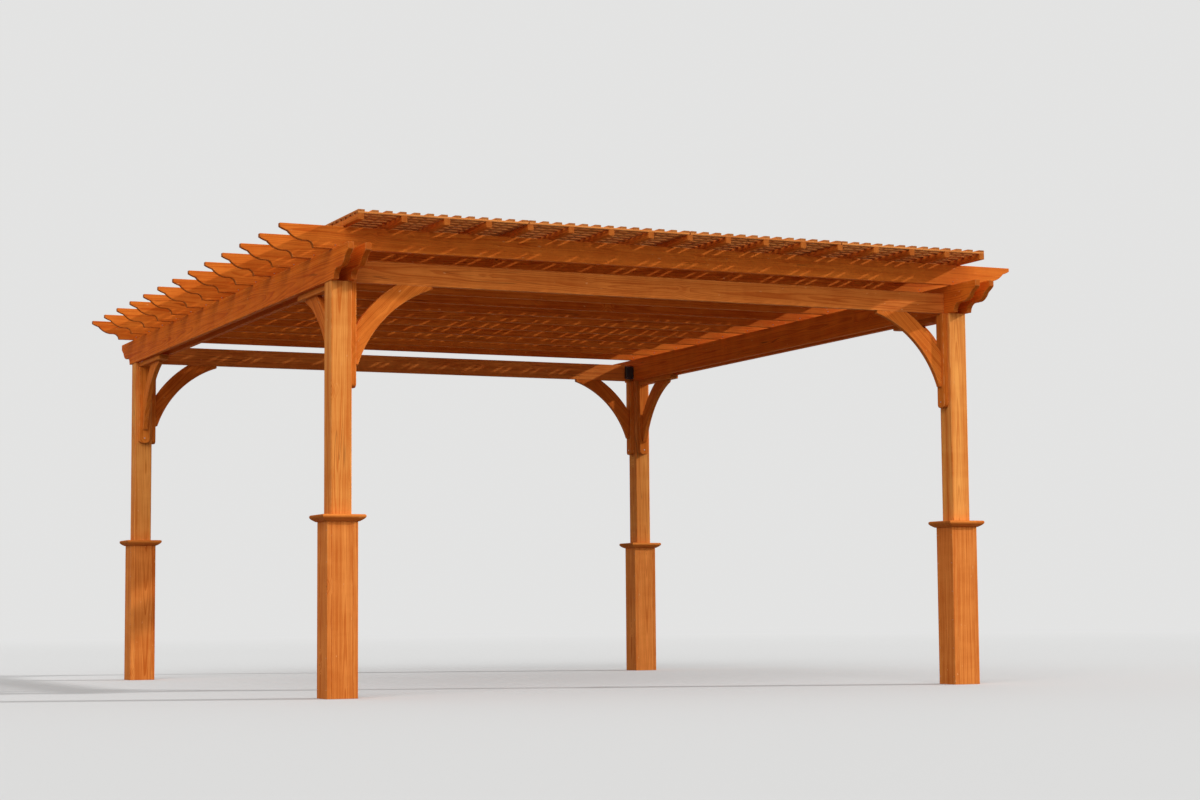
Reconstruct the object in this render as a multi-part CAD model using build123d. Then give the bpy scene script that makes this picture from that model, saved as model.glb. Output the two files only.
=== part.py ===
# Wooden garden pergola on four boxed posts, with a square lattice roof.
# Units are millimetres. +Z is up, the floor is z = 0, and -Y is the front.
# The origin is on the floor, midway between the four posts.

import os
from math import sqrt
from build123d import *

# Overall layout
post_span_x = 4600.0
post_span_y = 5230.0
post_width = 139.7
post_height = 2630.0
post_chamfer = 5.0

# Boxed base round the foot of each post
base_board_thickness = 32.0
base_board_height = 1106.0
cap_width = 286.0
cap_thickness = 44.0
cap_top_round = 10.0
cap_bottom_round = 28.0
fit_clearance = 0.5

# Doubled side beams
plank = 38.1
beam_height = 195.0
beam_gap = 76.2
beam_overhang = 355.0
beam_nose = 43.0
beam_bead_run = 61.0
beam_bead_drop = 78.0
beam_lobe_run = 150.0
beam_shoulder_run = 226.0
beam_shoulder_drop = 134.0
beam_swell = 14.0

# Headers at the front and at the rear
header_height = 145.0

# Slight fullness of the bead next to the nose, on every sawn tail
bead_swell = 2.0

# Rafters
rafter_height = 145.0
rafter_count = 13
rafter_overhang = 350.0
rafter_lead = 45.0
rafter_set_back = 43.0
rafter_nose = 24.0
rafter_bead_run = 53.0
rafter_bead_drop = 47.0
rafter_lobe_run = 148.0
rafter_shoulder_run = 176.0
rafter_shoulder_drop = 101.0
rafter_swell = 12.0

# Runners across the rafters
runner_size = 38.1
runner_count = 17
runner_inset = 62.5
runner_overhang = 345.0

# Lattice panels side by side, each of strips in two layers
strip_width = 44.0
strip_thickness = 13.0
panel_count = 4
panel_gap = 8.0
panel_long_strips = 13
panel_cross_strips = 67

# Knee braces and the flat battens behind them
batten_width = 88.9
batten_length = 675.0
batten_round = 28.0
brace_reach = 525.0
brace_centre = 763.0
brace_inner_radius = 780.0
brace_outer_radius = 902.0

# Small black outdoor box on the rear header
box_width = 70.0
box_height = 114.0
box_depth = 42.0
box_chamfer = 5.0
box_side_gap = 3.0
box_rise = 18.0

# Sizes that follow from the ones above
half_x = post_span_x / 2
half_y = post_span_y / 2
outer_x = half_x + post_width / 2
outer_y = half_y + post_width / 2
beam_top = post_height + beam_height
rafter_top = beam_top + rafter_height
runner_top = rafter_top + runner_size
cross_strip_top = runner_top + strip_thickness
lattice_top = cross_strip_top + strip_thickness
beam_length = 2 * (outer_y + beam_overhang)
rafter_length = 2 * (outer_x + rafter_overhang)
beam_offset = (beam_gap + plank) / 2
inner_face_x = half_x - beam_gap / 2 - plank
header_length = 2 * inner_face_x
rafter_first = -(outer_y + rafter_lead - plank / 2)
rafter_last = outer_y - rafter_set_back - plank / 2
rafter_spacing = (rafter_last - rafter_first) / (rafter_count - 1)
roof_half_x = outer_x - runner_inset
roof_half_y = outer_y + runner_overhang
runner_first = -roof_half_x + runner_size / 2
runner_pitch = -2 * runner_first / (runner_count - 1)
panel_width = (2 * roof_half_x + panel_gap) / panel_count - panel_gap

os.makedirs("parts", exist_ok=True)


def save(name, solids):
    """Write one node, which holds one piece or several like pieces."""
    shape = solids[0]
    if len(solids) > 1:
        shape = Compound(children=list(solids))
    shape.label = name
    export_step(shape, os.path.join("parts", name + ".step"))


def block(x0, x1, y0, y1, z0, z1):
    """A plain rectangular piece between two corners."""
    solid = Box(abs(x1 - x0), abs(y1 - y0), abs(z1 - z0))
    return Pos((x0 + x1) / 2, (y0 + y1) / 2, (z0 + z1) / 2) * solid


def sawn_board(length, height, nose, bead, lobe_run, shoulder, swell):
    """A board along X with the same sawn tail at both ends, its foot at z = 0.

    Each tail has a square nose, a slight bead back to a nick, a full lobe, a level shoulder and
    a cove. The bead and the shoulder are each given as a run from the end and a drop."""
    end = length / 2
    bead_run, bead_drop = bead
    run, drop = shoulder
    cove = height - drop
    bend = cove * sqrt(0.5)
    lines = []
    for side in (-1, 1):
        tip = (side * end, height)
        lip = (side * end, height - nose)
        bead_middle = (side * (end - bead_run / 2), height - (nose + bead_drop) / 2 - bead_swell)
        nick = (side * (end - bead_run), height - bead_drop)
        lobe_middle = (
            side * (end - (bead_run + lobe_run) / 2),
            height - (bead_drop + drop) / 2 - swell,
        )
        lobe_end = (side * (end - lobe_run), cove)
        corner = (side * (end - run), cove)
        hollow = (side * (end - run - bend), bend)
        foot = (side * (end - run - cove), 0)
        lines.append(Line(tip, lip))
        lines.append(ThreePointArc(lip, bead_middle, nick))
        lines.append(ThreePointArc(nick, lobe_middle, lobe_end))
        lines.append(Line(lobe_end, corner))
        lines.append(ThreePointArc(corner, hollow, foot))
    lines.append(Line((-end, height), (end, height)))
    lines.append(Line((-end + run + cove, 0), (end - run - cove, 0)))
    profile = make_face(Curve() + lines)
    return extrude(Plane.XZ * profile, plank / 2, both=True)


def knee_brace():
    """A curved brace in the XZ plane, its corner at the origin, open to +X and -Z."""
    middle = Pos(brace_centre, -brace_centre)
    ring = middle * Circle(brace_outer_radius) - middle * Circle(brace_inner_radius)
    window = Pos(brace_reach / 2, -brace_reach / 2) * Rectangle(brace_reach, brace_reach)
    arc = ring & window
    return extrude(Plane.XZ * arc, plank / 2, both=True)


def batten():
    """A flat batten on a +X face, its top at the origin and both lower corners rounded."""
    solid = block(0, plank, -batten_width / 2, batten_width / 2, -batten_length, 0)
    return fillet(solid.edges().filter_by(Axis.X).group_by(Axis.Z)[0], batten_round)


# Posts
for side_x, name_x in ((-1, "left"), (1, "right")):
    for side_y, name_y in ((-1, "front"), (1, "rear")):
        timber = Box(post_width, post_width, post_height)
        timber = chamfer(timber.edges().filter_by(Axis.Z), post_chamfer)
        timber = Pos(side_x * half_x, side_y * half_y, post_height / 2) * timber
        save("post_%s_%s" % (name_y, name_x), [timber])

# Base boards, two between the other two on every post
across = []
along = []
caps = []
cap_section = Rectangle(cap_width, cap_thickness)
cap_section = fillet(cap_section.vertices().group_by(Axis.Y)[-1], cap_top_round)
cap_section = fillet(cap_section.vertices().group_by(Axis.Y)[0], cap_bottom_round)
slab_x = extrude(Plane.XZ * cap_section, cap_width, both=True)
slab_y = Rot(0, 0, 90) * slab_x
cap_hole = post_width + 2 * fit_clearance
cap = slab_x & slab_y
cap = cap - Box(cap_hole, cap_hole, 3 * cap_thickness)
for side_x in (-1, 1):
    for side_y in (-1, 1):
        cx = side_x * half_x
        cy = side_y * half_y
        near = post_width / 2
        far = near + base_board_thickness
        for way in (-1, 1):
            across.append(
                block(cx - near, cx + near, cy + way * near, cy + way * far, 0, base_board_height)
            )
            along.append(
                block(cx + way * near, cx + way * far, cy - far, cy + far, 0, base_board_height)
            )
        caps.append(Pos(cx, cy, base_board_height + cap_thickness / 2) * cap)
save("base_boards_across", across)
save("base_boards_along", along)
save("base_caps", caps)

# Side beams, a pair over each row of posts
beam_bead = (beam_bead_run, beam_bead_drop)
beam_shoulder = (beam_shoulder_run, beam_shoulder_drop)
beam = sawn_board(
    beam_length, beam_height, beam_nose, beam_bead, beam_lobe_run, beam_shoulder, beam_swell
)
beam = Rot(0, 0, 90) * beam
for side_x, name_x in ((-1, "left"), (1, "right")):
    save("beam_%s_outer" % name_x, [Pos(side_x * (half_x + beam_offset), 0, post_height) * beam])
    save("beam_%s_inner" % name_x, [Pos(side_x * (half_x - beam_offset), 0, post_height) * beam])

# Headers between the inner beams
for side_y, name_y in ((-1, "front"), (1, "rear")):
    timber = block(
        -inner_face_x,
        inner_face_x,
        side_y * half_y - plank / 2,
        side_y * half_y + plank / 2,
        post_height,
        post_height + header_height,
    )
    save("header_%s" % name_y, [timber])

# Battens, upright on the posts and flat under the side beams
uprights = []
pads = []
below_pad = block(0, plank, -batten_width, batten_width, -batten_length, -plank)
for side_x in (-1, 1):
    for side_y in (-1, 1):
        turn = 0 if side_x < 0 else 180
        cx = side_x * (half_x - post_width / 2)
        uprights.append(Pos(cx, side_y * half_y, post_height) * Rot(0, 0, turn) * batten())
        turn = -side_y * 90
        cy = side_y * (half_y - post_width / 2)
        short = batten() & below_pad
        uprights.append(Pos(side_x * half_x, cy, post_height) * Rot(0, 0, turn) * short)
        lying = Rot(0, 0, side_y * 90) * Rot(0, 90, 0) * batten()
        pads.append(Pos(side_x * half_x, cy, post_height) * lying)
save("battens_upright", uprights)
save("battens_flat", pads)

# Curved knee braces
for side_x, name_x in ((-1, "left"), (1, "right")):
    for side_y, name_y in ((-1, "front"), (1, "rear")):
        turn = 0 if side_x < 0 else 180
        cx = side_x * (half_x - post_width / 2 - plank)
        brace = Pos(cx, side_y * half_y, post_height) * Rot(0, 0, turn) * knee_brace()
        save("brace_header_%s_%s" % (name_y, name_x), [brace])
        turn = 90 if side_y < 0 else -90
        cy = side_y * (half_y - post_width / 2 - plank)
        brace = Pos(side_x * half_x, cy, post_height - plank) * Rot(0, 0, turn) * knee_brace()
        save("brace_side_%s_%s" % (name_y, name_x), [brace])

# Rafters
rafter_bead = (rafter_bead_run, rafter_bead_drop)
rafter_shoulder = (rafter_shoulder_run, rafter_shoulder_drop)
rafter = sawn_board(
    rafter_length,
    rafter_height,
    rafter_nose,
    rafter_bead,
    rafter_lobe_run,
    rafter_shoulder,
    rafter_swell,
)
for index in range(rafter_count):
    y = rafter_first + index * rafter_spacing
    save("rafter_%02d" % (index + 1), [Pos(0, y, beam_top) * rafter])

# Runners on the rafters
runners = []
for index in range(runner_count):
    x = runner_first + index * runner_pitch
    half = runner_size / 2
    runners.append(block(x - half, x + half, -roof_half_y, roof_half_y, rafter_top, runner_top))
save("runners", runners)

# Lattice panels, with cross strips below and long strips above
cross_strips = []
long_strips = []
cross_pitch = (2 * roof_half_y - strip_width) / (panel_cross_strips - 1)
long_pitch = (panel_width - strip_width) / (panel_long_strips - 1)
for panel in range(panel_count):
    left = -roof_half_x + panel * (panel_width + panel_gap)
    for index in range(panel_cross_strips):
        y = -roof_half_y + index * cross_pitch
        cross_strips.append(
            block(left, left + panel_width, y, y + strip_width, runner_top, cross_strip_top)
        )
    for index in range(panel_long_strips):
        x = left + index * long_pitch
        long_strips.append(
            block(x, x + strip_width, -roof_half_y, roof_half_y, cross_strip_top, lattice_top)
        )
save("lattice_lower", cross_strips)
save("lattice_upper", long_strips)

# Small black box on the rear header
right = inner_face_x - box_side_gap
face = half_y - plank / 2
shell = Box(box_width, box_depth, box_height)
shell = chamfer(shell.faces().sort_by(Axis.Y)[0].edges(), box_chamfer)
foot = post_height + box_rise
shell = Pos(right - box_width / 2, face - box_depth / 2, foot + box_height / 2) * shell
save("junction_box", [shell])
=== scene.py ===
import itertools
import random
from math import cos, pi, radians, sin

import bmesh
import bpy
from mathutils import Matrix, Vector


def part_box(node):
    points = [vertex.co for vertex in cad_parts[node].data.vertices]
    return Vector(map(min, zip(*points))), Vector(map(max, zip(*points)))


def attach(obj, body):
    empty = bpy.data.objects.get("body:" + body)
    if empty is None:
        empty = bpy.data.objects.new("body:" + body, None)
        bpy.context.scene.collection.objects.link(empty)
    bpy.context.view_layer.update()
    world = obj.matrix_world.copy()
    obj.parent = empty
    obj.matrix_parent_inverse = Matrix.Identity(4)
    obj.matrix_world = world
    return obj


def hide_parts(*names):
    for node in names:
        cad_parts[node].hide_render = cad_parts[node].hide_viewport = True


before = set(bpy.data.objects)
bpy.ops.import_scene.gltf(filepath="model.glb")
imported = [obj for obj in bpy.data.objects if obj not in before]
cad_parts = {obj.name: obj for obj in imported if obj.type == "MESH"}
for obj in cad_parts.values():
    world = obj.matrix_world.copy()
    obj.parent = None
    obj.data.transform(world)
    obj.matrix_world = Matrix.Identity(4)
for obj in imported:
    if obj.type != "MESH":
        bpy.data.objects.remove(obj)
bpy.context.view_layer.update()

# Camera
# It stands to the left of the front, at about half a metre above the floor.
# The picture is taken as 1200 by 800 with a 36 mm wide sensor, so the lens follows from the view.
camera_place = (-6.9549, -16.8194, 0.5237)
camera_turn = radians(24.517)
camera_tilt = radians(5.153)
camera_roll = radians(-0.46)
camera_data = bpy.data.cameras.new("camera")
camera_data.sensor_width = 36.0
camera_data.lens = 70.68
camera_data.clip_end = 400.0
camera = bpy.data.objects.new("camera", camera_data)
aim = Matrix.Rotation(-camera_turn, 4, "Z") @ Matrix.Rotation(pi / 2 + camera_tilt, 4, "X")
camera.matrix_world = Matrix.Translation(camera_place) @ aim @ Matrix.Rotation(camera_roll, 4, "Z")
bpy.context.scene.collection.objects.link(camera)
bpy.context.scene.camera = camera


# Floor and light
# A plain pale floor that fades into a background of the same colour, a low main light from the
# right, a broad filling light from the front left, and an even white dome.
def put(tree, kind, sockets=None, **settings):
    """One node in a tree. Each socket, by name or number, is given a value or a link."""
    node = tree.nodes.new(kind)
    for key, value in settings.items():
        setattr(node, key, value)
    for key, value in (sockets or {}).items():
        if isinstance(value, bpy.types.NodeSocket):
            tree.links.new(value, node.inputs[key])
        else:
            node.inputs[key].default_value = value
    return node


def calc(tree, operation, *values, clamp=False):
    """The result of one sum, with links or numbers as its terms."""
    terms = dict(enumerate(values))
    return put(tree, "ShaderNodeMath", terms, operation=operation, use_clamp=clamp).outputs[0]


def vector(tree, operation, *values):
    """The result of one vector sum: a number for a length or a dot product, else a vector."""
    terms = dict(enumerate(values))
    results = put(tree, "ShaderNodeVectorMath", terms, operation=operation).outputs
    return results["Value" if operation in ("LENGTH", "DOT_PRODUCT") else "Vector"]


def smooth_step(tree, value, low, high):
    """0 below low and 1 above high, or the other way round where high is the smaller."""
    sockets = {0: value, 1: low, 2: high, 3: 0.0, 4: 1.0}
    return put(tree, "ShaderNodeMapRange", sockets, interpolation_type="SMOOTHSTEP").outputs[0]


def mix(tree, amount, first, second):
    """The colour that lies the given amount of the way from the first to the second."""
    sockets = {0: amount, 6: first, 7: second}
    return put(tree, "ShaderNodeMix", sockets, data_type="RGBA").outputs[2]


def seen_rays(tree):
    """1 for the rays that see the background itself, straight, in a gloss or through glass."""
    path = put(tree, "ShaderNodeLightPath").outputs
    seen = calc(tree, "MAXIMUM", path["Is Camera Ray"], path["Is Glossy Ray"])
    return calc(tree, "MAXIMUM", seen, path["Is Transmission Ray"])


def new_material(name):
    """A material with an empty tree, and the tree."""
    material = bpy.data.materials.new(name)
    material.use_nodes = True
    material.node_tree.nodes.clear()
    return material, material.node_tree


paper = (0.60, 0.60, 0.595, 1.0)
backdrop = (0.77, 0.77, 0.765, 1.0)
floor_half = 90.0
floor_fade = (14.0, 40.0)
bounce = (0.15, 0.147, 0.142, 1.0)
dome_white = (1.0, 1.0, 1.0, 1.0)
dome_strength = 0.57

floor_mesh = bpy.data.meshes.new("floor")
corners = [(x * floor_half, y * floor_half, 0.0) for x, y in ((-1, -1), (1, -1), (1, 1), (-1, 1))]
floor_mesh.from_pydata(corners, [], [(0, 1, 2, 3)])
floor = bpy.data.objects.new("floor", floor_mesh)
bpy.context.scene.collection.objects.link(floor)
floor_paint, tree = new_material("pale floor")
away = vector(tree, "LENGTH", put(tree, "ShaderNodeTexCoord").outputs["Object"])
seen = seen_rays(tree)
faded = calc(tree, "MULTIPLY", smooth_step(tree, away, *floor_fade), seen)
matt = put(tree, "ShaderNodeBsdfPrincipled", {"Base Color": mix(tree, seen, bounce, paper), "Roughness": 0.9})
glow = put(tree, "ShaderNodeEmission", {"Color": backdrop, "Strength": 1.0})
blend = put(tree, "ShaderNodeMixShader", {0: faded, 1: matt.outputs[0], 2: glow.outputs[0]})
put(tree, "ShaderNodeOutputMaterial", {"Surface": blend.outputs[0]})
floor_mesh.materials.append(floor_paint)

world = bpy.data.worlds.new("studio")
bpy.context.scene.world = world
world.use_nodes = True
tree = world.node_tree
tree.nodes.clear()
dome = put(tree, "ShaderNodeBackground", {"Color": dome_white, "Strength": dome_strength})
behind = put(tree, "ShaderNodeBackground", {"Color": backdrop, "Strength": 1.0})
blend = put(tree, "ShaderNodeMixShader", {0: seen_rays(tree), 1: dome.outputs[0], 2: behind.outputs[0]})
put(tree, "ShaderNodeOutputWorld", {"Surface": blend.outputs[0]})


def studio_light(name, strength, turn, height, breadth):
    """A distant light, its turn measured in degrees from the front towards the right."""
    data = bpy.data.lights.new(name, "SUN")
    data.energy = strength
    data.angle = radians(breadth)
    light = bpy.data.objects.new(name, data)
    turn, height = radians(turn), radians(height)
    source = Vector((sin(turn) * cos(height), -cos(turn) * cos(height), sin(height)))
    light.rotation_mode = "QUATERNION"
    light.rotation_quaternion = source.to_track_quat("Z", "Y")
    bpy.context.scene.collection.objects.link(light)


studio_light("main light", strength=2.8, turn=68.0, height=24.0, breadth=1.5)
studio_light("filling light", strength=1.3, turn=-35.0, height=33.0, breadth=50.0)
bpy.context.scene.view_settings.view_transform = "Standard"


# Posts
# Four solid square softwood timbers, planed, with eased arrises, under a clear orange stain.
# Each stands on the floor inside its boxed base and carries the doubled side beams on its top.
def new_group(name, inputs, outputs):
    """An empty shader group with named sockets, and its input and output nodes."""
    group = bpy.data.node_groups.new(name, "ShaderNodeTree")
    for label, kind in inputs:
        group.interface.new_socket(label, in_out="INPUT", socket_type="NodeSocket" + kind)
    for label in outputs:
        group.interface.new_socket(label, in_out="OUTPUT", socket_type="NodeSocketFloat")
    return group, put(group, "NodeGroupInput").outputs, put(group, "NodeGroupOutput")


def clouds(tree, place, per_metre, detail, roughness=0.5):
    """Noise with so many blotches a metre along each axis: output 0 is grey and 1 a colour."""
    spread = vector(tree, "MULTIPLY", place, per_metre)
    sockets = {"Vector": spread, "Scale": 1.0, "Detail": detail, "Roughness": roughness}
    return put(tree, "ShaderNodeTexNoise", sockets).outputs


def make_timber_grain():
    """Rings, fibres, knots and drying checks, worked out from a point's place in its log."""
    inputs = [("Place", "Vector"), ("Ring Width", "Float"), ("Wander", "Float"), ("Knot Size", "Float"),
              ("Drying", "Float")]
    outputs = ["Late Wood", "Band", "Fibre", "Knot", "Check", "Height"]
    group, given, leave = new_group("timber grain", inputs, outputs)
    spot = given["Place"]

    # The pith wanders along the log, and the rings swirl outwards near a knot.
    knots_per_metre, knot_core = 4.2, 0.7
    swirl_reach, swirl_depth = 0.055, 0.014
    slow = clouds(group, spot, (0.8, 6.0, 6.0), 3.0, 0.55)
    push = vector(group, "SUBTRACT", slow[1], (0.5, 0.5, 0.5))
    reach = put(group, "ShaderNodeCombineXYZ", {1: given["Wander"], 2: given["Wander"]}).outputs[0]
    bent = vector(group, "ADD", spot, vector(group, "MULTIPLY", push, reach))
    knots = put(group, "ShaderNodeTexVoronoi", {"Vector": vector(group, "MULTIPLY", spot, (0.8, 1.0, 1.0)),
                                                "Scale": knots_per_metre, "Randomness": 1.0})
    near = calc(group, "DIVIDE", knots.outputs["Distance"], knots_per_metre)
    core = calc(group, "MULTIPLY", given["Knot Size"], knot_core)
    knot = smooth_step(group, near, given["Knot Size"], core)
    radius = vector(group, "LENGTH", vector(group, "MULTIPLY", bent, (0.0, 1.0, 1.0)))
    swirl = calc(group, "MULTIPLY", smooth_step(group, near, swirl_reach, 0.0), swirl_depth)
    radius = calc(group, "ADD", radius, swirl)

    # The years differ in width, each darkens into a late line that ends sharply, and some groups
    # of years are darker than others.
    ring_change, most_rings_off = 0.45, 1.6
    late_rise, late_end, dark_years = (0.35, 0.88), (1.0, 0.93), (0.32, 0.68)
    bands_per_ring, bands_per_metre = 0.33, 0.35
    ring = calc(group, "DIVIDE", radius, given["Ring Width"])
    uneven = put(group, "ShaderNodeTexNoise", {"W": ring, "Scale": ring_change, "Detail": 1.0},
                 noise_dimensions="1D")
    ring = calc(group, "ADD", ring, calc(group, "MULTIPLY", uneven.outputs[0], most_rings_off))
    turn = calc(group, "FRACT", ring)
    late = calc(group, "MULTIPLY", smooth_step(group, turn, *late_rise), smooth_step(group, turn, *late_end))
    along = put(group, "ShaderNodeSeparateXYZ", {0: spot}).outputs[0]
    drift = put(group, "ShaderNodeCombineXYZ", {0: calc(group, "MULTIPLY", ring, bands_per_ring),
                                                1: calc(group, "MULTIPLY", along, bands_per_metre)})
    band = put(group, "ShaderNodeTexNoise", {"Vector": drift.outputs[0], "Scale": 1.0, "Detail": 1.0},
               noise_dimensions="2D")
    band = smooth_step(group, band.outputs[0], *dark_years)

    # Fibres run with the grain, and thin checks open along it where the wood has dried.
    fibre_range, check_edge, dried = (0.3, 0.7), (0.009, 0.002), (0.57, 0.64)
    late_relief, fibre_relief, check_relief = 0.6, 0.4, -2.0
    fibre = smooth_step(group, clouds(group, spot, (7.0, 380.0, 380.0), 2.0, 0.6)[0], *fibre_range)
    split = clouds(group, spot, (0.6, 15.0, 15.0), 1.5)[0]
    gate = clouds(group, spot, (1.3, 8.0, 8.0), 1.0)[0]
    off_line = calc(group, "ABSOLUTE", calc(group, "SUBTRACT", split, 0.5))
    check = calc(group, "MULTIPLY", smooth_step(group, off_line, *check_edge),
                 smooth_step(group, gate, *dried))
    check = calc(group, "MULTIPLY", check, given["Drying"])
    height = calc(group, "ADD", calc(group, "MULTIPLY", late, late_relief),
                  calc(group, "MULTIPLY", fibre, fibre_relief))
    height = calc(group, "MULTIPLY_ADD", check, check_relief, height)
    for label, result in (("Late Wood", late), ("Band", band), ("Fibre", fibre), ("Knot", knot),
                          ("Check", check), ("Height", height)):
        group.links.new(result, leave.inputs[label])
    return group


def make_stain_coat():
    """How a brushed stain lies: broad patches, laps across the grain, brush streaks, missed dabs,
    and arrises rubbed thin."""
    inputs = [("Place", "Vector"), ("Arris", "Float"), ("Rubbed", "Float")]
    group, given, leave = new_group("stain coat", inputs, ["Patch", "Lap", "Streak", "Dab", "Thin"])
    spot = given["Place"]
    patch_range, lap_range, streak_range, dab_range = (0.3, 0.7), (0.38, 0.62), (0.36, 0.66), (0.74, 0.80)
    chips_per_metre, chip_range = 24.0, (0.42, 0.62)
    patch = smooth_step(group, clouds(group, spot, (1.1, 6.0, 6.0), 2.0)[0], *patch_range)
    lap = smooth_step(group, clouds(group, spot, (5.0, 1.6, 1.6), 3.0, 0.6)[0], *lap_range)
    streak = smooth_step(group, clouds(group, spot, (2.2, 46.0, 46.0), 3.0, 0.6)[0], *streak_range)
    dab = smooth_step(group, clouds(group, spot, (22.0, 60.0, 60.0), 1.0)[0], *dab_range)
    chip = put(group, "ShaderNodeTexNoise", {"Vector": spot, "Scale": chips_per_metre, "Detail": 3.0})
    worn = calc(group, "MULTIPLY", given["Arris"], smooth_step(group, chip.outputs[0], *chip_range))
    thin = calc(group, "MULTIPLY", worn, given["Rubbed"])
    for label, result in (("Patch", patch), ("Lap", lap), ("Streak", streak), ("Dab", dab), ("Thin", thin)):
        group.links.new(result, leave.inputs[label])
    return group


timber_grain = make_timber_grain()
stain_coat = make_stain_coat()


def stained_timber(name, pale, deep, ring_width, wander, knot_size, drying):
    """Softwood under a clear stain: the late wood takes it dark and the early wood stays pale."""
    material, tree = new_material(name)
    place = put(tree, "ShaderNodeAttribute", attribute_name="log_place").outputs["Vector"]
    shift = put(tree, "ShaderNodeAttribute", attribute_name="log_shift").outputs["Vector"]
    tone = put(tree, "ShaderNodeAttribute", attribute_name="tone").outputs["Fac"]
    end = put(tree, "ShaderNodeAttribute", attribute_name="end_grain").outputs["Fac"]
    arris = put(tree, "ShaderNodeAttribute", attribute_name="arris").outputs["Fac"]
    spot = vector(tree, "ADD", place, shift)
    grain = put(tree, "ShaderNodeGroup", {"Place": spot, "Ring Width": ring_width, "Wander": wander,
                                          "Knot Size": knot_size, "Drying": drying},
                node_tree=timber_grain).outputs
    coat = put(tree, "ShaderNodeGroup", {"Place": spot, "Arris": arris, "Rubbed": 0.55},
               node_tree=stain_coat).outputs

    # How deep the stain looks: the share of each mask, less a start, and a shade for each board.
    depth, board_shade = -0.08, 0.34
    for mask, share in ((grain["Late Wood"], 0.44), (grain["Band"], 0.26), (grain["Fibre"], 0.18),
                        (coat["Streak"], 0.26), (coat["Lap"], 0.16), (coat["Patch"], 0.10)):
        depth = calc(tree, "MULTIPLY_ADD", mask, share, depth)
    shade = calc(tree, "MULTIPLY", calc(tree, "SUBTRACT", tone, 0.5), board_shade)
    colour = mix(tree, calc(tree, "ADD", depth, shade, clamp=True), pale, deep)

    # What lies over it: rubbed arrises and missed dabs are paler, and the last three darker; the near-black
    # of the drying checks is painted shade inside the cracks.
    for mask, strength, mark in ((coat["Thin"], 0.6, (0.80, 0.36, 0.13, 1.0)),
                                 (coat["Dab"], 0.5, (0.84, 0.42, 0.16, 1.0)),
                                 (grain["Knot"], 0.8, (0.14, 0.030, 0.008, 1.0)),
                                 # The checks are real splits in the wood, bumped in; their near-black is
                                 # painted shade in their depth.
                                 (grain["Check"], 0.85, (0.05, 0.012, 0.004, 1.0)),
                                 (end, 0.45, (0.17, 0.048, 0.012, 1.0))):
        colour = mix(tree, calc(tree, "MULTIPLY", mask, strength), colour, mark)
    stain_rough, fibre_rough, end_rough = 0.64, 0.12, 0.15
    rough = calc(tree, "MULTIPLY_ADD", grain["Fibre"], fibre_rough, stain_rough)
    rough = calc(tree, "MULTIPLY_ADD", end, end_rough, rough)
    bump = put(tree, "ShaderNodeBump", {"Strength": 0.35, "Distance": 0.0008, "Height": grain["Height"]})
    shader = put(tree, "ShaderNodeBsdfPrincipled", {"Base Color": colour, "Roughness": rough,
                                                    "Specular IOR Level": 0.03, "Normal": bump.outputs[0]})
    put(tree, "ShaderNodeOutputMaterial", {"Surface": shader.outputs[0]})
    return material


def joined_boards(node):
    """A CAD node's mesh as boards with whole flat faces, its loose triangles merged first."""
    same_place, same_plane = 0.00001, radians(0.4)
    least_curve, most_curve = radians(0.5), radians(25.0)
    work = bmesh.new()
    work.from_mesh(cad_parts[node].data)
    bmesh.ops.remove_doubles(work, verts=work.verts, dist=same_place)
    bmesh.ops.dissolve_limit(work, angle_limit=same_plane, verts=work.verts, edges=work.edges)
    for face in work.faces:
        turns = [edge.calc_face_angle(0.0) for edge in face.edges]
        face.smooth = any(least_curve < turn < most_curve for turn in turns)
    return work


def ease_arrises(work, ease):
    """Rounds every sharp edge by the given radius and marks the rounded faces as arris."""
    least_sharp = radians(30.0)
    arris = work.faces.layers.float.new("arris")
    sharp = [edge for edge in work.edges if edge.calc_face_angle(0.0) > least_sharp]
    made = bmesh.ops.bevel(work, geom=sharp, offset=ease, offset_type="OFFSET", segments=2, profile=0.5,
                           affect="EDGES", clamp_overlap=True)
    for face in made["faces"]:
        face.smooth = True
        face[arris] = 1.0
    for edge in work.edges:
        edge.smooth = len({face[arris] for face in edge.link_faces}) == 1


def boards_in(work):
    """The vertices of each separate board, in a steady order."""
    left = set(work.verts)
    boards = []
    while left:
        board = [left.pop()]
        for vertex in board:
            for edge in vertex.link_edges:
                other = edge.other_vert(vertex)
                if other in left:
                    left.remove(other)
                    board.append(other)
        boards.append(board)
    middle = lambda board: sum((v.co for v in board), Vector()) / len(board)
    return sorted(boards, key=lambda board: tuple(round(c, 3) for c in middle(board)))


def extent(board):
    """The lowest and highest corners of one board."""
    low = Vector([min(v.co[i] for v in board) for i in range(3)])
    high = Vector([max(v.co[i] for v in board) for i in range(3)])
    return low, high


log_length = 40.0


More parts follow.
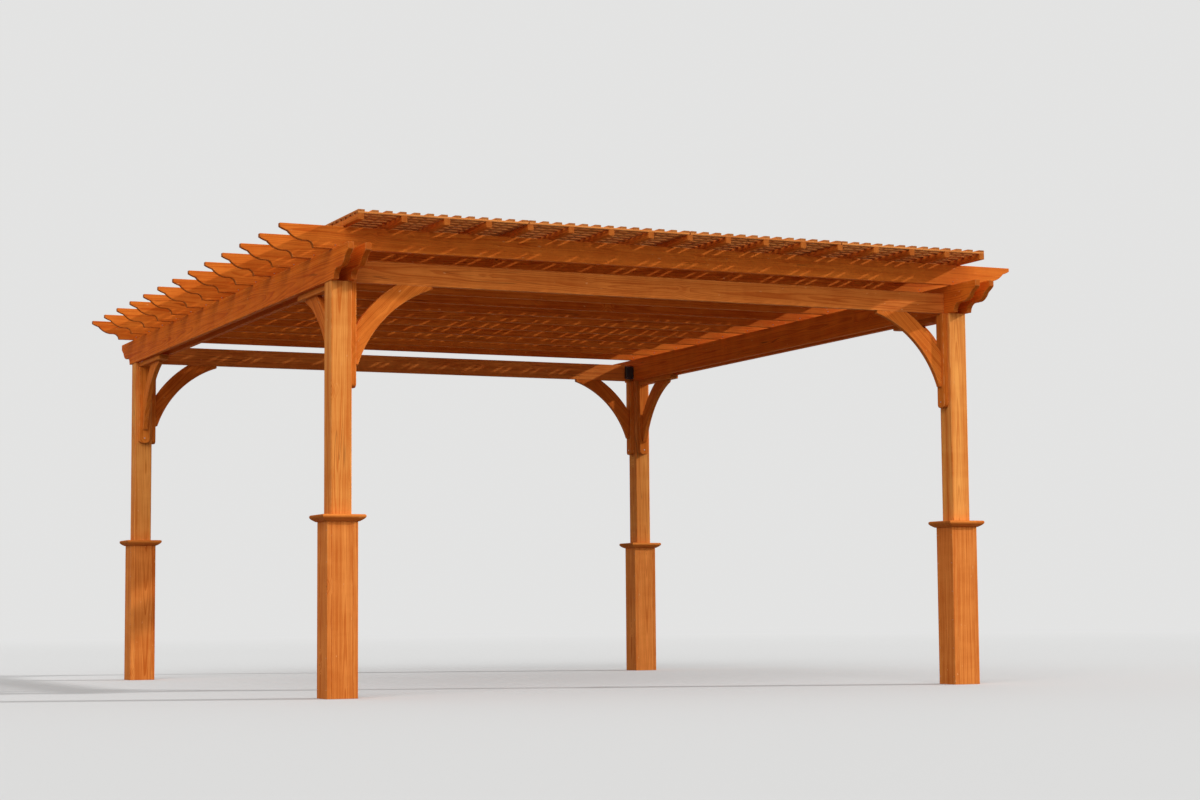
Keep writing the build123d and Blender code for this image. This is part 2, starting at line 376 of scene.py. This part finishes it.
def sawn_from_log(work, along, seed, heart):
    """Gives each board its place in a log: along the grain, and off the pith by up to heart."""
    side_share, least_share, most_lean = 0.6, 0.35, (0.010, 0.014)
    draw = random.Random(seed)
    place = work.verts.layers.float_vector.new("log_place")
    shift = work.verts.layers.float_vector.new("log_shift")
    tone = work.verts.layers.float.new("tone")
    end = work.faces.layers.float.new("end_grain")
    along = Vector(along).normalized()
    for board in boards_in(work):
        low, high = extent(board)
        middle = (low + high) / 2
        size = high - low
        sides = [Vector((1, 0, 0)), Vector((0, 1, 0)), Vector((0, 0, 1))]
        thick = min(sides, key=lambda side: abs(side.dot(size)) + 100 * abs(side.dot(along)))
        wide = along.cross(thick)
        off = Vector((draw.uniform(0, log_length), draw.uniform(-heart, heart) * side_share, 0.0))
        off.z = draw.choice((-1, 1)) * draw.uniform(least_share, 1.0) * heart
        lean = [draw.uniform(-most, most) for most in most_lean]
        shade = draw.random()
        for v in board:
            way = v.co - middle
            run = way.dot(along)
            v[place] = Vector((run, way.dot(wide) + lean[0] * run, way.dot(thick) + lean[1] * run))
            v[shift] = off
            v[tone] = shade
    for face in work.faces:
        face[end] = max(0.0, abs(face.normal.dot(along)) - 0.5) * 2


def timber_piece(node, material, along, ease, seed, heart, mould=None):
    """The dressed stand-in for one CAD node of sawn timber, its boards moulded first if asked."""
    work = joined_boards(node)
    if mould:
        mould(work)
    ease_arrises(work, ease)
    sawn_from_log(work, along, seed, heart)
    mesh = bpy.data.meshes.new(node + "_timber")
    work.to_mesh(mesh)
    work.free()
    mesh.materials.append(material)
    piece = bpy.data.objects.new(node + "_timber", mesh)
    bpy.context.scene.collection.objects.link(piece)
    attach(piece, "root")
    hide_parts(node)


upwards = (0, 0, 1)
# The post colours are paler and yellower than the other timbers': partly a paler stain and partly painted
# sunlight.
post_timber = stained_timber("post timber", (0.91, 0.375, 0.084, 1.0), (0.60, 0.150, 0.021, 1.0),
                             ring_width=0.0046, wander=0.015, knot_size=0.009, drying=0.5)
for number, node in enumerate(("post_front_left", "post_front_right", "post_rear_left", "post_rear_right")):
    timber_piece(node, post_timber, upwards, ease=0.0015, seed=11 + number, heart=0.035)

# Base boards
# Four one-inch-class boards nailed round the foot of each post to make its box, two of them
# between the other two, so that the long edges of the side boards show at the front and back.
base_timber = stained_timber("base timber", (0.89, 0.310, 0.066, 1.0), (0.54, 0.118, 0.015, 1.0),
                             ring_width=0.0044, wander=0.015, knot_size=0.007, drying=0.0)
timber_piece("base_boards_across", base_timber, upwards, ease=0.0015, seed=21, heart=0.070)
timber_piece("base_boards_along", base_timber, upwards, ease=0.0015, seed=22, heart=0.070)

# Base caps
# A moulded collar round each post on top of its box: a thin rounded nose along its upper edge,
# and an underside that sweeps in from it to the box.
rightwards = (1, 0, 0)
cap_nose = 0.015
cap_sweep = 0.034
cap_fullness = 1.6
past_hole = 0.090


def sweep_under(work):
    """Draws the underside of each cap in towards its box, below the nose along its edge."""
    for cap in boards_in(work):
        low, high = extent(cap)
        middle = (low + high) / 2
        for v in cap:
            way = v.co - middle
            reach = max(abs(way.x), abs(way.y))
            fall = (high.z - cap_nose - v.co.z) / (high.z - cap_nose - low.z)
            if fall > 0 and reach > past_hole:
                wanted = (high.x - low.x) / 2 - cap_sweep * fall ** cap_fullness
                v.co.x = middle.x + way.x * wanted / reach
                v.co.y = middle.y + way.y * wanted / reach


cap_timber = stained_timber("cap timber", (0.82, 0.262, 0.047, 1.0), (0.52, 0.110, 0.013, 1.0),
                            ring_width=0.0050, wander=0.016, knot_size=0.006, drying=0.0)
timber_piece("base_caps", cap_timber, rightwards, ease=0.0010, seed=31, heart=0.060, mould=sweep_under)

# Side beams
# Two planks over each row of posts, a post's width apart overall, with sawn tails at both ends.
backwards = (0, 1, 0)
beams = ("beam_left_outer", "beam_left_inner", "beam_right_inner", "beam_right_outer")
beam_timber = stained_timber("beam timber", (0.81, 0.190, 0.017, 1.0), (0.52, 0.078, 0.0050, 1.0),
                             ring_width=0.0060, wander=0.034, knot_size=0.008, drying=0.5)
for number, node in enumerate(beams):
    timber_piece(node, beam_timber, backwards, ease=0.0030, seed=41 + number, heart=0.080)

# Headers
# One plank between the inner side beams at the front and one at the rear, over the posts.
# The header colours are the stain with painted skylight: a little more green and blue than the other timbers,
# for the cool light in the roof's shade.
header_timber = stained_timber("header timber", (0.80, 0.238, 0.041, 1.0), (0.50, 0.101, 0.012, 1.0),
                               ring_width=0.0070, wander=0.040, knot_size=0.008, drying=0.4)
for number, node in enumerate(("header_front", "header_rear")):
    timber_piece(node, header_timber, rightwards, ease=0.0030, seed=51 + number, heart=0.070)

# Battens
# Round-ended flat battens screwed to the posts and under the beams; the braces land on them.
batten_timber = stained_timber("batten timber", (0.80, 0.232, 0.032, 1.0), (0.50, 0.098, 0.0080, 1.0),
                               ring_width=0.0050, wander=0.018, knot_size=0.006, drying=0.0)
timber_piece("battens_upright", batten_timber, upwards, ease=0.0050, seed=61, heart=0.060)
timber_piece("battens_flat", batten_timber, backwards, ease=0.0050, seed=62, heart=0.060)

# Knee braces
# Curved brackets band-sawn from wide planks, with the grain running across the corner.
brace_timber = stained_timber("brace timber", (0.80, 0.222, 0.030, 1.0), (0.50, 0.092, 0.0080, 1.0),
                              ring_width=0.0055, wander=0.026, knot_size=0.007, drying=0.2)
brace_seeds = itertools.count(71)
for (name_y, way_y), (name_x, way_x) in itertools.product((("front", 1), ("rear", -1)),
                                                          (("left", 1), ("right", -1))):
    for name, along in (("header", (way_x, 0, 1)), ("side", (0, way_y, 1))):
        timber_piece("brace_%s_%s_%s" % (name, name_y, name_x), brace_timber, along, ease=0.0030,
                     seed=next(brace_seeds), heart=0.080)

# Rafters
# Thirteen planks on edge across the side beams, each with the same sawn tail at both ends.
rafter_timber = stained_timber("rafter timber", (0.80, 0.210, 0.025, 1.0), (0.51, 0.088, 0.0070, 1.0),
                               ring_width=0.0060, wander=0.036, knot_size=0.008, drying=0.5)
rafters = sorted(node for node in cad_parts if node.startswith("rafter_"))
for number, node in enumerate(rafters):
    timber_piece(node, rafter_timber, rightwards, ease=0.0025, seed=101 + number, heart=0.075)


# Runners
# Square battens laid along the roof over the rafters and screwed down at each crossing.
def new_tree(name, inputs):
    """An empty Geometry Nodes tree with named inputs, and those inputs."""
    tree = bpy.data.node_groups.new(name, "GeometryNodeTree")
    for label, kind in [("Geometry", "Geometry")] + inputs:
        tree.interface.new_socket(label, in_out="INPUT", socket_type="NodeSocket" + kind)
    tree.interface.new_socket("Geometry", in_out="OUTPUT", socket_type="NodeSocketGeometry")
    return tree, put(tree, "NodeGroupInput").outputs


def end_tree(tree, copies, material):
    """The end of a tree: its copies made real, in their material."""
    real = put(tree, "GeometryNodeRealizeInstances", {"Geometry": copies.outputs[0]})
    finished = put(tree, "GeometryNodeSetMaterial", {"Geometry": real.outputs[0], "Material": material})
    put(tree, "NodeGroupOutput", {0: finished.outputs[0]})
    return tree


def store(tree, geometry, name, value, kind, domain):
    """The node that keeps a value with the geometry under a name."""
    sockets = {"Geometry": geometry.outputs[0], "Name": name, "Value": value}
    return put(tree, "GeometryNodeStoreNamedAttribute", sockets, data_type=kind, domain=domain)


def make_bar_rows():
    """Geometry Nodes for eased bars in rows: rows of bars, and panels of rows."""
    tree, given = new_tree("eased bars in rows", [
        ("Bars", "Int"), ("Panels", "Int"), ("First", "Vector"), ("Bar Step", "Vector"),
        ("Panel Step", "Vector"), ("Half Length", "Vector"), ("Width", "Float"), ("Thickness", "Float"),
        ("Ease", "Float"), ("Heart", "Float"), ("Seed", "Int"), ("Timber", "Material")])
    side_lean, up_lean, least_share = 0.006, 0.009, 0.3

    # A point for the middle of each bar.
    index = put(tree, "GeometryNodeInputIndex").outputs[0]
    panel = calc(tree, "FLOOR", calc(tree, "DIVIDE", calc(tree, "ADD", index, 0.5), given["Bars"]))
    bar = calc(tree, "SUBTRACT", index, calc(tree, "MULTIPLY", panel, given["Bars"]))
    spot = vector(tree, "ADD", given["First"], vector(tree, "MULTIPLY", given["Bar Step"], bar))
    spot = vector(tree, "ADD", spot, vector(tree, "MULTIPLY", given["Panel Step"], panel))
    count = calc(tree, "MULTIPLY", given["Bars"], given["Panels"])
    points = put(tree, "GeometryNodePoints", {"Count": count, "Position": spot})

    # One bar: an eased rectangle along a line, with its place in its log and its end grain.
    backward = vector(tree, "MULTIPLY", given["Half Length"], (-1.0, -1.0, -1.0))
    line = put(tree, "GeometryNodeCurvePrimitiveLine", {"Start": backward, "End": given["Half Length"]})
    upright = put(tree, "GeometryNodeSetCurveNormal", {"Curve": line.outputs[0]}, mode="Z_UP")
    outline = put(tree, "GeometryNodeCurvePrimitiveQuadrilateral",
                  {"Width": given["Width"], "Height": given["Thickness"]})
    eased = put(tree, "GeometryNodeFilletCurve", {"Curve": outline.outputs[0], "Radius": given["Ease"]})
    solid = put(tree, "GeometryNodeCurveToMesh", {"Curve": upright.outputs[0],
                                                  "Profile Curve": eased.outputs[0], "Fill Caps": True})
    here = put(tree, "GeometryNodeInputPosition").outputs[0]
    along = vector(tree, "NORMALIZE", given["Half Length"])
    run = vector(tree, "DOT_PRODUCT", here, along)
    over = vector(tree, "DOT_PRODUCT", here, vector(tree, "CROSS_PRODUCT", along, (0.0, 0.0, 1.0)))
    up = put(tree, "ShaderNodeSeparateXYZ", {0: here}).outputs[2]
    in_log = put(tree, "ShaderNodeCombineXYZ", {0: run, 1: calc(tree, "MULTIPLY_ADD", run, side_lean, over),
                                                2: calc(tree, "MULTIPLY_ADD", run, up_lean, up)})
    facing = put(tree, "GeometryNodeInputNormal").outputs[0]
    ends = calc(tree, "ABSOLUTE", vector(tree, "DOT_PRODUCT", facing, along))
    placed = store(tree, solid, "log_place", in_log.outputs[0], "FLOAT_VECTOR", "POINT")
    marked = store(tree, placed, "end_grain", ends, "FLOAT", "FACE")

    # A bar at each point, with its own shade and its own place off the pith.
    bars = put(tree, "GeometryNodeInstanceOnPoints", {
        "Points": points.outputs[0], "Instance": marked.outputs[0]})
    tone = put(tree, "FunctionNodeRandomValue", {"Seed": given["Seed"]}, data_type="FLOAT")
    most = put(tree, "ShaderNodeCombineXYZ", {0: log_length, 1: given["Heart"], 2: given["Heart"]}).outputs[0]
    least = vector(tree, "MULTIPLY", most, (0.0, -1.0, least_share))
    next_seed = calc(tree, "ADD", given["Seed"], 7)
    off = put(tree, "FunctionNodeRandomValue", {0: least, 1: most, "Seed": next_seed},
              data_type="FLOAT_VECTOR")
    toned = store(tree, bars, "tone", tone.outputs[1], "FLOAT", "INSTANCE")
    shifted = store(tree, toned, "log_shift", off.outputs[0], "FLOAT_VECTOR", "INSTANCE")
    return end_tree(tree, shifted, given["Timber"])


def grown_piece(name, tree, values, plan=None):
    """The plain mesh that a Geometry Nodes tree makes with these input values, on a plan if given."""
    seedling = bpy.data.objects.new(name + "_plan", plan or bpy.data.meshes.new(name + "_plan"))
    bpy.context.scene.collection.objects.link(seedling)
    modifier = seedling.modifiers.new("rows", "NODES")
    modifier.node_group = tree
    for item in tree.interface.items_tree:
        if item.item_type == "SOCKET" and item.in_out == "INPUT" and item.name in values:
            modifier[item.identifier] = values[item.name]
    depsgraph = bpy.context.evaluated_depsgraph_get()
    mesh = bpy.data.meshes.new_from_object(seedling.evaluated_get(depsgraph))
    bpy.data.objects.remove(seedling)
    mesh.name = name
    piece = bpy.data.objects.new(name, mesh)
    bpy.context.scene.collection.objects.link(piece)
    return piece


bar_rows = make_bar_rows()
runner_count = 17
runner_size = 0.0381
runner_ease = 0.002
runner_timber = stained_timber("runner timber", (0.79, 0.226, 0.032, 1.0), (0.50, 0.096, 0.0090, 1.0),
                               ring_width=0.0050, wander=0.020, knot_size=0.005, drying=0.3)
low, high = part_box("runners")
runner_pitch = (high.x - low.x - runner_size) / (runner_count - 1)
runners = grown_piece("roof_runners", bar_rows, {
    "Bars": runner_count, "Panels": 1, "First": (low.x + runner_size / 2, 0.0, (low.z + high.z) / 2),
    "Bar Step": (runner_pitch, 0.0, 0.0), "Panel Step": (0.0, 0.0, 0.0),
    "Half Length": (0.0, (high.y - low.y) / 2, 0.0), "Width": runner_size, "Thickness": high.z - low.z,
    "Ease": runner_ease, "Heart": 0.060, "Seed": 5, "Timber": runner_timber})
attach(runners, "root")
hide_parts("runners")

# Lattice
# Four ready-made panels side by side on the runners, each of thin softwood strips in two layers,
# stapled where they cross: the cross strips lie below and the long strips above.
panel_count = 4
cross_strips_per_panel = 67
long_strips_per_panel = 13
strip_width = 0.044
strip_ease = 0.0012
strip_heart = 0.050
panel_gap = 0.008
strip_timber = stained_timber("lattice timber", (0.78, 0.300, 0.080, 1.0), (0.49, 0.135, 0.0260, 1.0),
                              ring_width=0.0040, wander=0.012, knot_size=0.004, drying=0.0)
low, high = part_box("lattice_lower")
panel_width = (high.x - low.x + panel_gap) / panel_count - panel_gap
cross_pitch = (high.y - low.y - strip_width) / (cross_strips_per_panel - 1)
lower = grown_piece("lattice_cross_strips", bar_rows, {
    "Bars": cross_strips_per_panel, "Panels": panel_count,
    "First": (low.x + panel_width / 2, low.y + strip_width / 2, (low.z + high.z) / 2),
    "Bar Step": (0.0, cross_pitch, 0.0), "Panel Step": (panel_width + panel_gap, 0.0, 0.0),
    "Half Length": (panel_width / 2, 0.0, 0.0), "Width": strip_width, "Thickness": high.z - low.z,
    "Ease": strip_ease, "Heart": strip_heart, "Seed": 8, "Timber": strip_timber})
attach(lower, "root")
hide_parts("lattice_lower")
low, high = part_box("lattice_upper")
long_pitch = (panel_width - strip_width) / (long_strips_per_panel - 1)
upper = grown_piece("lattice_long_strips", bar_rows, {
    "Bars": long_strips_per_panel, "Panels": panel_count,
    "First": (low.x + strip_width / 2, 0.0, (low.z + high.z) / 2),
    "Bar Step": (long_pitch, 0.0, 0.0), "Panel Step": (panel_width + panel_gap, 0.0, 0.0),
    "Half Length": (0.0, (high.y - low.y) / 2, 0.0), "Width": strip_width, "Thickness": high.z - low.z,
    "Ease": strip_ease, "Heart": strip_heart, "Seed": 9, "Timber": strip_timber})
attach(upper, "root")
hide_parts("lattice_upper")

# Staples
# Galvanised crowns on the underside of each panel, one where every long strip crosses a cross strip.
dull_zinc = (0.42, 0.40, 0.37, 1.0)
bright_zinc = (0.66, 0.64, 0.60, 1.0)
zinc_rough = 0.28
spangle_rough = 0.3
steel, tree = new_material("zinc plated steel")
place = put(tree, "ShaderNodeTexCoord").outputs["Object"]
spangle = put(tree, "ShaderNodeTexNoise", {"Vector": place, "Scale": 400.0, "Detail": 2.0}).outputs[0]
colour = mix(tree, spangle, dull_zinc, bright_zinc)
rough = calc(tree, "MULTIPLY_ADD", spangle, spangle_rough, zinc_rough)
shader = put(tree, "ShaderNodeBsdfPrincipled", {"Base Color": colour, "Metallic": 1.0, "Roughness": rough})
put(tree, "ShaderNodeOutputMaterial", {"Surface": shader.outputs[0]})


def make_staples():
    """Geometry Nodes for a staple crown at each point of a plan, turned a little at random."""
    tree, given = new_tree("staple crowns", [
        ("Crown", "Vector"), ("Turn", "Float"), ("Seed", "Int"), ("Metal", "Material")])
    crown = put(tree, "GeometryNodeMeshCube", {"Size": given["Crown"]})
    other_way = calc(tree, "MULTIPLY", given["Turn"], -1.0)
    turn = put(tree, "FunctionNodeRandomValue", {2: other_way, 3: given["Turn"], "Seed": given["Seed"]},
               data_type="FLOAT")
    spin = put(tree, "ShaderNodeCombineXYZ", {2: turn.outputs[1]})
    laid = put(tree, "GeometryNodeInstanceOnPoints", {
        "Points": given["Geometry"], "Instance": crown.outputs[0], "Rotation": spin.outputs[0]})
    return end_tree(tree, laid, given["Metal"])


crown_size = (0.0105, 0.0013, 0.0010)
crown_turn = 0.5
low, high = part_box("lattice_lower")
crossings = []
for panel, column, row in itertools.product(range(panel_count), range(long_strips_per_panel),
                                            range(cross_strips_per_panel)):
    left = low.x + panel * (panel_width + panel_gap) + strip_width / 2
    y = low.y + strip_width / 2 + row * cross_pitch
    crossings.append((left + column * long_pitch, y, low.z))
plan = bpy.data.meshes.new("crossings")
plan.from_pydata(crossings, [], [])
staples = grown_piece("lattice_staples", make_staples(), {
    "Crown": crown_size, "Turn": crown_turn, "Seed": 3, "Metal": steel}, plan)
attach(staples, "root")


# Screws and nails
# Zinc screws with a round recess hold each upright batten at its lower end, each rafter at a slant
# over every side beam, and each runner over every rafter. Finish nails hold the base boards.
def make_heads():
    """Geometry Nodes for a recessed round head at each point of a plan, turned to face outwards: a
    disc whose upper quarter stands proud."""
    tree, given = new_tree("recessed heads", [
        ("Radius", "Float"), ("Proud", "Float"), ("Recess", "Float"), ("Metal", "Material")])
    head_sides, whole_depth, recess_depth = 14, 4.0, 0.7
    depth = calc(tree, "MULTIPLY", given["Proud"], whole_depth)
    disc = put(tree, "GeometryNodeMeshCylinder", {
        "Vertices": head_sides, "Radius": given["Radius"], "Depth": depth})
    rim = put(tree, "GeometryNodeExtrudeMesh", {
        "Mesh": disc.outputs["Mesh"], "Selection": disc.outputs["Top"], "Offset Scale": 0.0,
        "Individual": False})
    inner = put(tree, "GeometryNodeScaleElements", {
        "Geometry": rim.outputs["Mesh"], "Selection": rim.outputs["Top"], "Scale": given["Recess"]})
    sunk = put(tree, "GeometryNodeExtrudeMesh", {
        "Mesh": inner.outputs[0], "Selection": rim.outputs["Top"],
        "Offset Scale": calc(tree, "MULTIPLY", given["Proud"], -recess_depth), "Individual": False})
    drop = put(tree, "ShaderNodeCombineXYZ", {2: calc(tree, "MULTIPLY", given["Proud"], -1.0)})
    head = put(tree, "GeometryNodeTransform", {
        "Geometry": sunk.outputs["Mesh"], "Translation": drop.outputs[0]})
    facing = put(tree, "GeometryNodeInputNamedAttribute", {"Name": "facing"}, data_type="FLOAT_VECTOR")
    turned = put(tree, "FunctionNodeAlignRotationToVector", {"Vector": facing.outputs[0]}, axis="Z")
    driven = put(tree, "GeometryNodeInstanceOnPoints", {
        "Points": given["Geometry"], "Instance": head.outputs[0], "Rotation": turned.outputs[0]})
    return end_tree(tree, driven, given["Metal"])


def driven_heads(name, spots, radius, proud, recess, metal):
    """One piece of like heads, from a list of places and the ways that they face."""
    plan = bpy.data.meshes.new(name + "_spots")
    plan.from_pydata([place for place, facing in spots], [], [])
    ways = plan.attributes.new("facing", "FLOAT_VECTOR", "POINT")
    for number, (place, facing) in enumerate(spots):
        ways.data[number].vector = facing
    piece = grown_piece(name, heads, {
        "Radius": radius, "Proud": proud, "Recess": recess, "Metal": metal}, plan)
    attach(piece, "root")


heads = make_heads()
end_margin = 0.042
toe_rise = 0.024
nail_rows = 6
nail_margin = 0.055
post_low, post_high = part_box("post_front_left")
centre_x, centre_y = -(post_low.x + post_high.x) / 2, -(post_low.y + post_high.y) / 2
half_post = (post_high.x - post_low.x) / 2
header_low, header_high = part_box("header_front")
inner_x = centre_x - half_post - (header_high.y - header_low.y)
inner_y = centre_y - half_post - (header_high.y - header_low.y)
board_low, board_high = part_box("base_boards_along")
board_thickness = post_low.x - board_low.x
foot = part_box("battens_upright")[0].z + end_margin
batten_spots = []
nail_spots = []
for side, end in ((-1, -1), (-1, 1), (1, -1), (1, 1)):
    batten_spots.append(((side * inner_x, end * centre_y, foot), (-side, 0.0, 0.0)))
    batten_spots.append(((side * centre_x, end * inner_y, foot), (0.0, -end, 0.0)))
    for way, edge, row in itertools.product((-1, 1), (-1, 1), range(nail_rows)):
        x = side * centre_x + way * (half_post + board_thickness)
        y = end * centre_y + edge * (half_post + board_thickness / 2)
        rise = (board_high.z - 2 * nail_margin) * row / (nail_rows - 1)
        nail_spots.append(((x, y, nail_margin + rise), (way, 0.0, 0.0)))
driven_heads("batten_screws", batten_spots, radius=0.0048, proud=0.0013, recess=0.55, metal=steel)
driven_heads("base_nails", nail_spots, radius=0.0022, proud=0.0004, recess=0.50, metal=steel)

toe_spots = []
for rafter, beam in itertools.product(rafters, beams):
    low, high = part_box(rafter)
    x = (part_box(beam)[0].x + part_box(beam)[1].x) / 2
    toe_spots.append(((x, low.y, low.z + toe_rise), (0.0, -1.0, 1.0)))
    toe_spots.append(((x, high.y, low.z + toe_rise), (0.0, 1.0, 1.0)))
driven_heads("rafter_toe_screws", toe_spots, radius=0.0045, proud=0.0012, recess=0.55, metal=steel)

low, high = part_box("runners")
runner_spots = []
for number, rafter in itertools.product(range(runner_count), rafters):
    x = low.x + runner_size / 2 + number * runner_pitch
    y = (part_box(rafter)[0].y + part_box(rafter)[1].y) / 2
    runner_spots.append(((x, y, high.z), (0.0, 0.0, 1.0)))
driven_heads("runner_screws", runner_spots, radius=0.0045, proud=0.0003, recess=0.55, metal=steel)

# Junction box
# A small black outdoor box on the rear header beside the right inner beam, moulded in plastic:
# a housing, a lid held by a screw at each corner over a seal, and a blank plug in its lower entry.
clean_black = (0.010, 0.010, 0.011, 1.0)
dusty_black = (0.020, 0.019, 0.018, 1.0)
dust_range = (0.4, 0.7)
black_plastic, tree = new_material("black plastic")
place = put(tree, "ShaderNodeTexCoord").outputs["Object"]
stipple = put(tree, "ShaderNodeTexNoise", {"Vector": place, "Scale": 900.0, "Detail": 2.0})
bump = put(tree, "ShaderNodeBump", {"Strength": 0.2, "Distance": 0.0003, "Height": stipple.outputs[0]})
dust = put(tree, "ShaderNodeTexNoise", {"Vector": place, "Scale": 30.0, "Detail": 3.0})
colour = mix(tree, smooth_step(tree, dust.outputs[0], *dust_range), clean_black, dusty_black)
shader = put(tree, "ShaderNodeBsdfPrincipled", {"Base Color": colour, "Roughness": 0.42,
                                                "Normal": bump.outputs[0]})
put(tree, "ShaderNodeOutputMaterial", {"Surface": shader.outputs[0]})


def rounded_slab(name, low, high, radius, ease):
    """A slab with rounded corners seen along Y, and its front edges eased."""
    same_place, most_flat = 0.00001, 0.999
    work = bmesh.new()
    made = bmesh.ops.create_cube(work, size=1.0)
    size = high - low
    bmesh.ops.scale(work, vec=size, verts=made["verts"])
    bmesh.ops.translate(work, vec=(low + high) / 2, verts=made["verts"])
    upright = [edge for edge in work.edges if abs((edge.verts[0].co - edge.verts[1].co).y) > size.y / 2]
    bmesh.ops.bevel(work, geom=upright, offset=radius, offset_type="OFFSET", segments=5, profile=0.5,
                    affect="EDGES")
    front = [edge for edge in work.edges if all(abs(v.co.y - low.y) < same_place for v in edge.verts)]
    bmesh.ops.bevel(work, geom=front, offset=ease, offset_type="OFFSET", segments=3, profile=0.5,
                    affect="EDGES")
    for face in work.faces:
        face.smooth = len(face.verts) == 4 and abs(face.normal.y) < most_flat
    mesh = bpy.data.meshes.new(name)
    work.to_mesh(mesh)
    work.free()
    mesh.materials.append(black_plastic)
    piece = bpy.data.objects.new(name, mesh)
    bpy.context.scene.collection.objects.link(piece)
    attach(piece, "root")
    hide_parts("junction_box")


box_corner = 0.006
lid_depth = 0.009
seal_corner = 0.005
seal_depth = 0.0012
seal_inset = 0.0015
screw_inset = 0.009
screw_proud = 0.0006
plug_proud = 0.0030
low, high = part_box("junction_box")
lid_back = low.y + lid_depth
seal_back = lid_back + seal_depth
inset = Vector((seal_inset, 0.0, seal_inset))
rounded_slab("junction_box_housing", Vector((low.x, seal_back, low.z)), high, radius=box_corner, ease=0.0008)
rounded_slab("junction_box_lid", low, Vector((high.x, lid_back, high.z)), radius=box_corner, ease=0.0030)
rounded_slab("junction_box_seal", Vector((low.x, lid_back, low.z)) + inset,
             Vector((high.x, seal_back, high.z)) - inset, radius=seal_corner, ease=0.0001)
lid_spots = []
for x, z in itertools.product((low.x + screw_inset, high.x - screw_inset),
                              (low.z + screw_inset, high.z - screw_inset)):
    lid_spots.append(((x, low.y + screw_proud, z), (0.0, -1.0, 0.0)))
driven_heads("junction_box_screws", lid_spots, radius=0.0032, proud=screw_proud, recess=0.5, metal=steel)
plug_spot = ((low.x + high.x) / 2, (seal_back + high.y) / 2, low.z + plug_proud)
driven_heads("junction_box_plug", [(plug_spot, (0.0, 0.0, -1.0))], radius=0.0125, proud=plug_proud,
             recess=0.35, metal=black_plastic)
